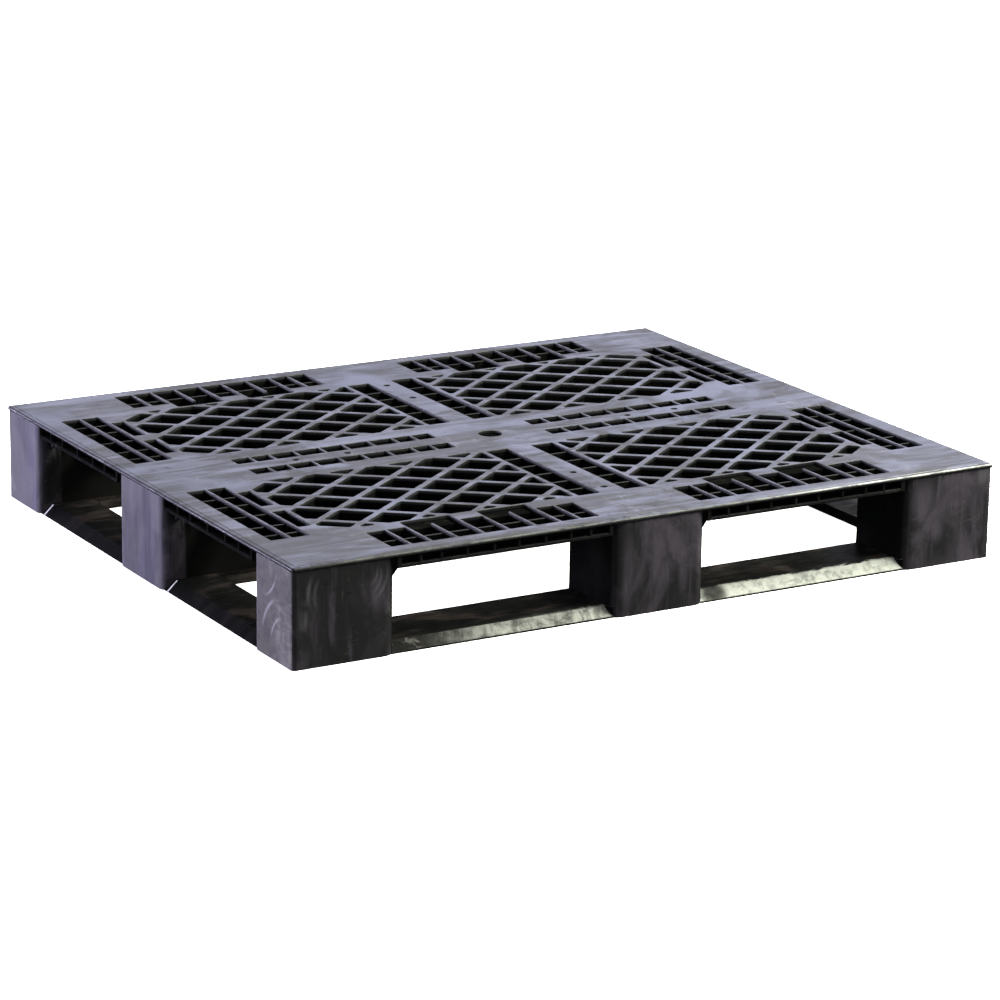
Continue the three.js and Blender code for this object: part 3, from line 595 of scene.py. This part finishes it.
# ---- materials ----------------------------------------------------------------------------------------
class Look:
    """The node tree of one material. A value is a socket or a number; places are object coordinates."""

    def __init__(self, name):
        self.material = bpy.data.materials.new(name)
        self.material.use_nodes = True
        self.tree = self.material.node_tree
        self.shader = self.tree.nodes["Principled BSDF"]
        coordinates = self.tree.nodes.new("ShaderNodeTexCoord")
        self.place = coordinates.outputs["Object"]
        self.x, self.y, self.z = self.parts(self.place)
        self.nx, self.ny, self.nz = self.parts(coordinates.outputs["Normal"])

    def node(self, kind, output, inputs, **settings):
        node = self.tree.nodes.new(kind)
        for name, value in settings.items():
            setattr(node, name, value)
        for key, value in inputs.items():
            self.put(node.inputs[key], value)
        return node.outputs[output]

    def put(self, socket, value):
        if isinstance(value, bpy.types.NodeSocket):
            self.tree.links.new(value, socket)
        else:
            socket.default_value = value

    def parts(self, vector):
        node = self.tree.nodes.new("ShaderNodeSeparateXYZ")
        self.put(node.inputs[0], vector)
        return node.outputs

    def math(self, operation, a, b=0.0):
        return self.node("ShaderNodeMath", 0, {0: a, 1: b}, operation=operation)

    def times(self, *values):
        result = values[0]
        for value in values[1:]:
            result = self.math("MULTIPLY", result, value)
        return result

    def most(self, *values):
        result = values[0]
        for value in values[1:]:
            result = self.math("MAXIMUM", result, value)
        return result

    def stretched(self, stretch, turn=(0, 0, 0), shift=(0, 0, 0)):
        turned = self.node("ShaderNodeMapping", 0, {
            "Vector": self.place, "Rotation": [math.radians(a) for a in turn], "Location": shift})
        return self.node("ShaderNodeMapping", 0, {"Vector": turned, "Scale": stretch})

    def noise(self, scale, stretch=(1, 1, 1), turn=(0, 0, 0), detail=4.0, rough=0.55, twist=0.0,
              shift=(0, 0, 0)):
        return self.node("ShaderNodeTexNoise", 0, {
            "Vector": self.stretched(stretch, turn, shift), "Scale": scale, "Detail": detail,
            "Roughness": rough, "Distortion": twist})

    def step(self, value, low, high, start=0.0, end=1.0):
        """Runs smoothly from start to end as the value passes from low to high."""
        return self.node("ShaderNodeMapRange", 0, {
            "Value": value, "From Min": low, "From Max": high, "To Min": start, "To Max": end},
            interpolation_type="SMOOTHSTEP")

    def lines(self, scale, width, stretch, turn=(0, 0, 0), shift=(0, 0, 0)):
        """Thin broken lines, where a stretched noise passes its middle value."""
        value = self.noise(scale, stretch, turn, 3.0, 0.5, 0.0, shift)
        return self.step(self.math("ABSOLUTE", self.math("SUBTRACT", value, 0.5)), 0.0, width, 1.0, 0.0)

    def distance(self, u, v, centre, radii):
        """0 at a centre and 1 on the ellipse around it of those radii, both given in millimetres."""
        du = self.math("DIVIDE", self.math("SUBTRACT", u, centre[0] * MM), radii[0] * MM)
        dv = self.math("DIVIDE", self.math("SUBTRACT", v, centre[1] * MM), radii[1] * MM)
        return self.math("SQRT", self.math("ADD", self.times(du, du), self.times(dv, dv)))

    def patch(self, u, v, centre, radii):
        return self.step(self.distance(u, v, centre, radii), 0.2, 1.0, 1.0, 0.0)

    def arc(self, u, v, centre, radii, width):
        """A thin ring around a centre."""
        off = self.math("ABSOLUTE", self.math("SUBTRACT", self.distance(u, v, centre, radii), 1.0))
        return self.step(off, 0.0, width, 1.0, 0.0)

    def near_faces(self, depth_x, depth_y, fade):
        """0 deeper than those depths behind the pallet's outer faces, rising to 1 over the fade."""
        x0, y0 = FACE_X - depth_x, FACE_Y - depth_y
        along_x = self.step(self.math("ABSOLUTE", self.x), x0 * MM, (x0 + fade) * MM)
        along_y = self.step(self.math("ABSOLUTE", self.y), y0 * MM, (y0 + fade) * MM)
        return self.most(along_x, along_y)

    def blend(self, factor, a, b):
        """Colour a where the factor is 0 and colour b where it is 1."""
        four = [value if isinstance(value, bpy.types.NodeSocket) else (*value, 1) for value in (a, b)]
        return self.node("ShaderNodeMix", 2, {0: factor, 6: four[0], 7: four[1]}, data_type="RGBA")

    def bump(self, height, depth_mm, strength):
        return self.node("ShaderNodeBump", 0, {
            "Height": height, "Distance": depth_mm * MM, "Strength": strength})

    def finish(self, **inputs):
        names = {"colour": "Base Color", "roughness": "Roughness", "metallic": "Metallic",
                 "specular": "Specular IOR Level", "normal": "Normal"}
        for key, value in inputs.items():
            self.put(self.shader.inputs[names[key]], value)
        return self.material


def deck_look():
    """Black plastic with a greyish scuffed, dusty top that also carries a painted lavender sheen, a rim with
    edge wear and a painted highlight at its right end, and painted shade that makes it dull and darker down
    in the openings.
    """
    look = Look("deck plastic")
    top = look.step(look.z, (TOP - 6.0) * MM, (TOP - 2.0) * MM)
    flat = look.times(look.step(look.nz, 0.75, 0.97), top)
    grain = look.noise(5, (1, 6, 1), detail=7.0, rough=0.6, twist=1.2)
    grain_across = look.noise(6, (9, 1, 1), detail=5.0, rough=0.6, shift=(3, 1, 0))
    cloud = look.noise(4.5, detail=6.0, rough=0.6, twist=0.6)
    smear = look.times(look.step(look.noise(6, (1, 3, 1), (0, 0, 32), 4.0, 0.6, 0.8), 0.52, 0.70),
                       look.step(look.noise(23, (1, 4, 1), (0, 0, 32), 3.0), 0.35, 0.65))
    scratches = look.times(
        look.most(look.lines(3.0, 0.006, (1, 26, 1)), look.lines(2.6, 0.005, (1, 22, 1), (0, 0, 38)),
                  look.lines(2.4, 0.005, (24, 1, 1), (0, 0, 12))),
        look.step(look.noise(9, detail=3.0, shift=(5, 2, 0)), 0.50, 0.62))
    pits = look.step(look.noise(170, detail=2.0), 0.66, 0.76)
    # dust and painted sheen: the upward faces at the top get a mottled lavender-grey film, partly dust and
    # partly a painted lavender sheen
    dust_and_sheen = look.times(flat, look.most(look.step(grain, 0.42, 0.66, 0.05, 0.8),
                                      look.step(cloud, 0.48, 0.68), smear))
    top_film_and_sheen = look.blend(dust_and_sheen, (0.006, 0.006, 0.008), (0.047, 0.050, 0.084))
    stain = look.times(flat, look.step(look.noise(30, detail=6.0, rough=0.7, shift=(2, 0, 4)), 0.50, 0.63),
                       look.step(look.noise(4, detail=3.0, shift=(1, 6, 0)), 0.44, 0.60))
    top_film_and_sheen = look.blend(look.times(stain, 0.8), top_film_and_sheen, (0.010, 0.009, 0.009))
    scraped = look.blend(look.times(flat, scratches, 0.35), top_film_and_sheen, (0.16, 0.155, 0.18))
    # painted shade: faces below the top few millimetres, down in the openings and under the lip, are made
    # near black; the pockets near the outer faces are painted a little lighter, being less deep in shade
    inner_dirt = look.step(look.noise(30, detail=5.0, rough=0.65), 0.50, 0.70)
    inner = look.blend(look.times(inner_dirt, 0.5), (0.0020, 0.0022, 0.0021), (0.008, 0.0075, 0.006))
    pockets = look.blend(inner_dirt, (0.009, 0.0098, 0.0093), (0.022, 0.022, 0.021))
    inner = look.blend(look.near_faces(24, 24, 5), inner, pockets)
    edges = look.times(top, look.step(look.nz, 0.15, 0.55), look.step(look.nz, 0.9, 0.99, 1.0, 0.0))
    worn_and_highlighted = look.times(edges, look.step(look.noise(38, detail=5.0, rough=0.7), 0.36, 0.60))
    # edge wear and a painted highlight: the rounded rim edges near the outer faces turn pale towards the
    # right end; towards the left end they carry dark stains
    right_end_highlight = look.times(look.step(look.x, 0.05, 0.42), look.near_faces(14, 14, 3))
    rim_scuffs_and_highlight = look.blend(right_end_highlight, (0.050, 0.054, 0.048), (0.20, 0.21, 0.19))
    rim_scuffs_and_highlight = look.blend(look.step(look.x, -0.57, -0.50, 1.0, 0.0), rim_scuffs_and_highlight, (0.010, 0.009, 0.010))
    colour = look.blend(worn_and_highlighted, look.blend(top, inner, scraped), rim_scuffs_and_highlight)
    roughness = look.math("ADD", look.step(grain, 0.3, 0.7, 0.46, 0.34),
                          look.step(cloud, 0.35, 0.65, 0.0, 0.16))
    roughness = look.math("ADD", roughness, look.times(look.math("SUBTRACT", 1.0, top), 0.25))
    relief = look.math("ADD", look.times(grain, 0.5), look.times(grain_across, 0.15))
    relief = look.math("ADD", relief, look.times(look.math("ADD", scratches, pits), -0.25))
    sheen = look.math("SUBTRACT", 0.50, look.times(edges, look.step(right_end_highlight, 0.0, 1.0, 0.42, 0.15)))
    sheen = look.math("SUBTRACT", sheen, look.times(stain, 0.22))
    return look.finish(colour=colour, roughness=roughness, specular=look.times(top, sheen),
                       normal=look.bump(relief, 0.35, 0.6))


# scuffs on the blocks as (centre, radii), in millimetres along the face and up it; a curl also has the
# patch that it shows in
FRONT_CLOUDS = (((-56, 70), (17, 85)), ((42, 78), (15, 80)), ((10, 60), (14, 40)),
                ((478, 105), (34, 52)), ((505, 62), (26, 34)), ((-470, 96), (26, 46)))
FRONT_CURLS = (((-522, 108), (62, 60), ((-582, 112), (14, 34))),
               ((-516, 106), (58, 52), ((-572, 108), (12, 30))),
               ((-500, 128), (42, 46), ((-466, 108), (22, 34))),
               ((-497, 126), (30, 32), ((-470, 112), (20, 26))),
               ((-494, 130), (20, 22), ((-476, 120), (18, 20))))
FRONT_RUBS = (((-540, 112), (14, 4)), ((-524, 103), (16, 4)), ((-556, 122), (8, 3)))
SIDE_CURLS = (((-470, 10), (62, 84), ((-430, 70), (40, 44))),
              ((-480, 4), (46, 66), ((-450, 52), (34, 36))),
              ((-400, 150), (60, 64), ((-440, 108), (36, 30))))


def block_look():
    """Black plastic with purplish scuff clouds and streaks that run down the faces, painted light that makes
    the left side paler, and painted shade that darkens the faces inside the fork openings.
    """
    look = Look("block plastic")
    cloud = look.noise(7.5, (1, 1, 0.75), detail=6.0, rough=0.62, twist=0.9)
    streak = look.noise(5.5, (7, 7, 0.7), detail=5.0, rough=0.6, twist=0.5, shift=(0.4, 0.2, 0))
    fine = look.noise(26, (6, 6, 0.6), detail=4.0, rough=0.6)
    arcs = look.times(look.lines(3.2, 0.028, (1, 1, 0.55), shift=(2, 7, 1)),
                      look.step(look.noise(10, detail=3.0, shift=(1, 4, 2)), 0.50, 0.62))
    scratches = look.times(
        look.most(look.lines(2.5, 0.006, (16, 16, 1), (0, 8, 0)),
                  look.lines(2.5, 0.005, (1, 1, 18), (0, 14, 0))),
        look.step(look.noise(12, detail=3.0, shift=(8, 1, 0)), 0.50, 0.60))
    speck = look.step(look.noise(120, detail=2.0), 0.64, 0.74)
    front = look.step(look.math("MULTIPLY", look.ny, -1.0), 0.8, 0.95)
    left = look.step(look.math("MULTIPLY", look.nx, -1.0), 0.8, 0.95)
    clouds = [look.patch(look.x, look.z, *spot) for spot in FRONT_CLOUDS]
    curls = [look.times(look.arc(look.x, look.z, centre, radii, 0.09), look.patch(look.x, look.z, *within))
             for centre, radii, within in FRONT_CURLS]
    side_curls = [look.times(look.arc(look.y, look.z, centre, radii, 0.06),
                             look.patch(look.y, look.z, *within))
                  for centre, radii, within in SIDE_CURLS]
    haze = look.most(look.step(cloud, 0.46, 0.68), look.step(streak, 0.52, 0.70, 0.0, 0.9),
                     look.times(front, look.most(*clouds), look.step(streak, 0.30, 0.62, 0.25, 1.0)))
    haze = look.times(haze, look.step(fine, 0.2, 0.75, 0.55, 1.0))
    outer = look.near_faces(40, 10, 8)
    behind_face = look.step(look.math("ABSOLUTE", look.y), (FACE_Y - 4) * MM, (FACE_Y - 2) * MM, 1.0, 0.0)
    inward = look.times(outer, look.step(look.math("ABSOLUTE", look.ny), 0.6, 0.9), behind_face)
    colour = look.blend(haze, (0.0115, 0.0113, 0.0118), (0.066, 0.057, 0.072))
    # painted light: the left faces are painted paler and lavender, as if lit from the left, with greyer
    # scuffed patches on the front block
    left_light_and_scuffs = look.blend(look.step(streak, 0.34, 0.70), (0.034, 0.033, 0.041), (0.072, 0.069, 0.100))
    front_block = look.step(look.y, -0.40, -0.37, 1.0, 0.0)
    left_light_and_scuffs = look.blend(look.times(front_block, 0.8), left_light_and_scuffs, (0.104, 0.099, 0.084))
    left_light_and_scuffs = look.blend(look.times(look.step(cloud, 0.44, 0.60),
                                     look.step(front_block, 0.0, 1.0, 0.2, 0.9)), left_light_and_scuffs,
                          (0.225, 0.212, 0.180))
    rough = look.step(look.noise(48, (1, 1, 1.6), detail=5.0, rough=0.7, twist=0.6), 0.44, 0.62)
    left_light_and_scuffs = look.blend(look.times(rough, look.step(front_block, 0.0, 1.0, 0.12, 0.5)), left_light_and_scuffs,
                          (0.035, 0.034, 0.036))
    colour = look.blend(left, colour, left_light_and_scuffs)
    # scuff marks, painted paler on the left faces along with the painted light there
    marks = look.most(look.times(arcs, 0.45), look.times(front, look.most(*curls), 0.42),
                      look.times(left, look.most(*side_curls), 0.85))
    colour = look.blend(look.times(marks, look.step(fine, 0.3, 0.6, 0.4, 1.0)), colour,
                        look.blend(left, (0.14, 0.135, 0.145), (0.30, 0.285, 0.30)))
    rubs = [look.patch(look.x, look.z, *spot) for spot in FRONT_RUBS]
    rubbed = look.times(front, look.most(*rubs), look.step(fine, 0.35, 0.6))
    colour = look.blend(rubbed, colour, (0.004, 0.004, 0.004))
    nicks = look.most(scratches, look.times(speck, 0.5))
    colour = look.blend(look.times(nicks, 0.22), colour, (0.12, 0.12, 0.12))
    # painted shade: block faces more than about 40 mm from the side faces and 10 mm from the front and back
    # faces, inside the fork openings, are made near black
    inner = look.blend(look.step(look.noise(9, detail=5.0), 0.45, 0.7), (0.0055, 0.0060, 0.0057),
                       (0.0110, 0.0110, 0.0102))
    colour = look.blend(outer, inner, colour)
    roughness = look.math("ADD", look.step(cloud, 0.3, 0.7, 0.36, 0.50), look.times(fine, 0.10))
    relief = look.math("ADD", look.times(fine, 0.35), look.times(scratches, -0.3))
    relief = look.math("ADD", relief, look.times(look.noise(240, detail=2.0), 0.2))
    sheen = look.times(look.math("SUBTRACT", outer, look.times(inward, 0.8)), 0.30)
    return look.finish(colour=colour, roughness=roughness, specular=sheen,
                       normal=look.bump(relief, 0.3, 0.55))


def base_look():
    """Black plastic, with the front ramps scraped whitish and carrying a painted highlight, and a painted
    highlight line on the left ones.
    """
    look = Look("base plastic")
    cloud = look.noise(9, (1, 2.5, 1), detail=6.0, rough=0.6, twist=0.8)
    streak = look.noise(14, (1, 8, 1), detail=5.0, rough=0.6)
    mottle = look.noise(34, (1, 1.6, 1.6), detail=6.0, rough=0.68, twist=0.7)
    scrapes = look.noise(40, (2.4, 0.6, 0.6), (0, 0, 12), 4.0, 0.65, 0.4)
    ramp = look.times(look.step(look.math("MULTIPLY", look.ny, -1.0), 0.45, 0.6),
                      look.step(look.nz, 0.5, 0.65),
                      look.step(look.y, (18 - TOE_Y) * MM, (20 - TOE_Y) * MM, 1.0, 0.0),
                      look.step(look.z, (TOE + 0.4) * MM, (TOE + 1.1) * MM))
    ragged = look.math("ADD", look.y, look.times(look.math("SUBTRACT", mottle, 0.5), 0.05))
    crest = look.times(look.step(ragged, (RAMP + 2 - TOE_Y) * MM, (RAMP + 9 - TOE_Y) * MM, 1.0, 0.0),
                       look.step(look.nz, 0.9, 0.98))
    # partly scraped wear and partly a painted highlight: the whitening of the front ramps and crests fades
    # out towards the left end and grows fuller and more even towards the right
    scuff_and_highlight_fade = look.most(look.step(look.x, -0.41, -0.24, 0.0, 0.75), look.step(look.x, -0.16, -0.12),
                     look.times(look.step(mottle, 0.52, 0.72), 0.5))
    smudge = look.patch(look.x, look.y, (106, -492), (34, 30))
    scuff_and_highlight_fade = look.times(scuff_and_highlight_fade, look.step(smudge, 0.0, 1.0, 1.0, 0.1))
    front = look.most(ramp, look.times(crest, look.step(look.x, -0.30, 0.12)))
    highlight_mottle_floor = look.step(look.x, -0.1, 0.15, 0.45, 0.75)
    highlight_scrape_floor = look.step(look.x, -0.1, 0.15, 0.55, 0.92)
    worn_and_highlighted = look.times(front, scuff_and_highlight_fade, look.step(mottle, 0.34, 0.54, highlight_mottle_floor, 1.0),
                      look.step(scrapes, 0.36, 0.56, highlight_scrape_floor, 1.0))
    side = look.step(look.math("ABSOLUTE", look.nx), 0.4, 0.6)
    left = look.step(look.math("MULTIPLY", look.nx, -1.0), 0.4, 0.6)
    # a thin painted highlight line on the left ramps, beside the blocks
    ends = look.most(*[look.times(look.step(look.y, (edge - 6.5) * MM, (edge - 5.5) * MM),
                                  look.step(look.y, (edge - 3.2) * MM, (edge - 2.2) * MM, 1.0, 0.0))
                       for edge in (-MIDDLE_Y, CORNER_Y)])
    dull = look.blend(look.step(cloud, 0.48, 0.70), (0.0055, 0.0057, 0.0056), (0.028, 0.023, 0.021))
    dull = look.blend(look.times(look.step(streak, 0.56, 0.72), 0.5), dull, (0.040, 0.037, 0.035))
    dull = look.blend(look.times(side, 0.75), dull, (0.0035, 0.0038, 0.0037))
    dull = look.blend(look.times(left, ends), dull, (0.60, 0.60, 0.62))
    crest_x = TOE_X - RAMP
    under_block = look.times(look.step(look.math("ABSOLUTE", look.nz), 0.1, 0.3, 1.0, 0.0),
                             look.step(look.math("ABSOLUTE", look.x), (crest_x - 1) * MM, crest_x * MM),
                             look.step(look.z, (TOE + 0.5) * MM, (TOE + 1.5) * MM))
    dull = look.blend(under_block, dull, (0.030, 0.027, 0.030))
    white = look.blend(look.step(look.noise(60, detail=5.0, rough=0.7), 0.42, 0.70), (0.27, 0.283, 0.254),
                       (0.100, 0.107, 0.095))
    colour = look.blend(worn_and_highlighted, dull, white)
    roughness = look.step(mottle, 0.3, 0.7, 0.28, 0.48)
    relief = look.math("ADD", look.times(mottle, look.step(worn_and_highlighted, 0.0, 1.0, 0.2, 1.0)),
                       look.times(streak, 0.25))
    return look.finish(colour=colour, roughness=roughness, specular=look.step(worn_and_highlighted, 0.0, 1.0, 0.004, 0.040),
                       normal=look.bump(relief, 0.45, 0.7))


def steel_look(name, light, dark, rough):
    """Metal with a mottled finish, drawn lines and spots of dirt."""
    look = Look(name)
    spangle = look.node("ShaderNodeTexVoronoi", "Color", {"Vector": look.place, "Scale": 95.0})
    tone = look.parts(spangle)[0]
    drawn = look.noise(12, (1, 14, 14), detail=4.0)
    dirt = look.step(look.noise(22, detail=5.0, rough=0.65), 0.54, 0.70)
    colour = look.blend(look.step(tone, 0.0, 1.0, 0.1, 0.8), dark, light)
    colour = look.blend(look.times(dirt, 0.6), colour, (0.07, 0.055, 0.045))
    roughness = look.math("ADD", look.step(tone, 0.0, 1.0, rough, rough + 0.12), look.times(dirt, 0.25))
    return look.finish(colour=colour, roughness=roughness, metallic=look.step(dirt, 0.0, 1.0, 1.0, 0.4),
                       normal=look.bump(drawn, 0.08, 0.5))


def floor_look():
    look = Look("floor")
    tone = look.noise(2.0, detail=3.0)
    look.put(look.shader.inputs["Emission Color"], (1.0, 1.0, 1.0, 1.0))
    look.put(look.shader.inputs["Emission Strength"], 0.8)
    return look.finish(colour=look.blend(tone, (0.90, 0.90, 0.90), (0.93, 0.93, 0.93)), roughness=0.9,
                       specular=0.0)


def dress(piece, material):
    piece.data.materials.clear()
    piece.data.materials.append(material)


deck_plastic, block_plastic, base_plastic = deck_look(), block_look(), base_look()
steel = steel_look("tube steel", (0.62, 0.63, 0.64), (0.42, 0.43, 0.45), 0.32)
screw_steel = steel_look("screw steel", (0.12, 0.12, 0.125), (0.05, 0.05, 0.053), 0.38)

# ---- assembly -----------------------------------------------------------------------------------------
def add(piece, material, node):
    dress(piece, material)
    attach(piece, "root")
    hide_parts(node)


add(deck(), deck_plastic, "top_deck")
for name, (sx, sy) in BLOCKS.items():
    add(block(f"look_{name}", sx, sy), block_plastic, f"block_{name}")
add(base_frame(), base_plastic, "base_frame")
for name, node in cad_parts.items():
    if "tube" in name:
        dress(node, steel)
    elif "screw" in name:
        dress(node, screw_steel)

# ---- floor, light and camera --------------------------------------------------------------------------
floor_mesh = bpy.data.meshes.new("floor")
floor_mesh.from_pydata([(-30, -30, 0), (30, -30, 0), (30, 30, 0), (-30, 30, 0)], [], [(0, 1, 2, 3)])
floor = bpy.data.objects.new("floor", floor_mesh)
bpy.context.scene.collection.objects.link(floor)
dress(floor, floor_look())
floor.visible_glossy = floor.visible_diffuse = False


def area_light(name, at, towards, size, power, colour):
    light = bpy.data.lights.new(name, "AREA")
    light.shape, light.size, light.size_y = "RECTANGLE", *size
    light.energy, light.color = power, colour
    lamp = bpy.data.objects.new(name, light)
    lamp.location = at
    lamp.rotation_euler = (Vector(towards) - Vector(at)).to_track_quat("-Z", "Y").to_euler()
    lamp.visible_camera = False
    bpy.context.scene.collection.objects.link(lamp)
    return lamp


area_light("overhead softbox", (1.55, -0.95, 2.7), (0.15, -0.45, 0), (1.5, 1.3), 480, (1.0, 1.0, 0.88))
area_light("back wall", (1.5, 7.0, 1.7), (0.3, 0, 0.1), (14.0, 3.4), 222, (0.77, 0.78, 1.0))
area_light("left wall", (-3.4, 2.8, 0.42), (-0.5, 0, 0.08), (6.5, 0.75), 420, (0.72, 0.68, 1.0))
area_light("top fill", (-0.2, -0.4, 4.5), (0, 0, 0), (5.0, 5.0), 120, (1.0, 1.0, 1.0))

world = bpy.data.worlds.new("studio")
world.use_nodes = True
sky = world.node_tree.nodes
direction = sky.new("ShaderNodeSeparateXYZ")
world.node_tree.links.new(sky.new("ShaderNodeTexCoord").outputs["Generated"], direction.inputs[0])
horizon = sky.new("ShaderNodeMapRange")
for key, value in {"From Min": -0.05, "From Max": 0.05, "To Min": 0.12, "To Max": 0.42}.items():
    horizon.inputs[key].default_value = value
world.node_tree.links.new(direction.outputs["Z"], horizon.inputs["Value"])
world.node_tree.links.new(horizon.outputs[0], sky["Background"].inputs["Strength"])
sky["Background"].inputs["Color"].default_value = (0.96, 0.95, 1, 1)
bpy.context.scene.world = world
bpy.context.scene.view_settings.view_transform = "Standard"

# the photo's viewing angle: place and directions are from a camera fitted to the pallet's corners and
# openings in the photo, and the lens was then adjusted to the pallet's outline
CAMERA_AT = (-2.9198, -5.0515, 1.7157)
CAMERA_RIGHT, CAMERA_UP = (0.86628, -0.49935, 0.01441), (0.12565, 0.24571, 0.96116)
LENS, SENSOR = 137.3, 36.0
camera_data = bpy.data.cameras.new("camera")
camera_data.lens, camera_data.sensor_width = LENS, SENSOR
camera_data.clip_end = 200
camera = bpy.data.objects.new("camera", camera_data)
right, up = Vector(CAMERA_RIGHT), Vector(CAMERA_UP)
back = right.cross(up)
camera.matrix_world = Matrix.Translation(CAMERA_AT) @ Matrix(
    (right, back.cross(right), back)).transposed().to_4x4()
bpy.context.scene.collection.objects.link(camera)
bpy.context.scene.camera = camera
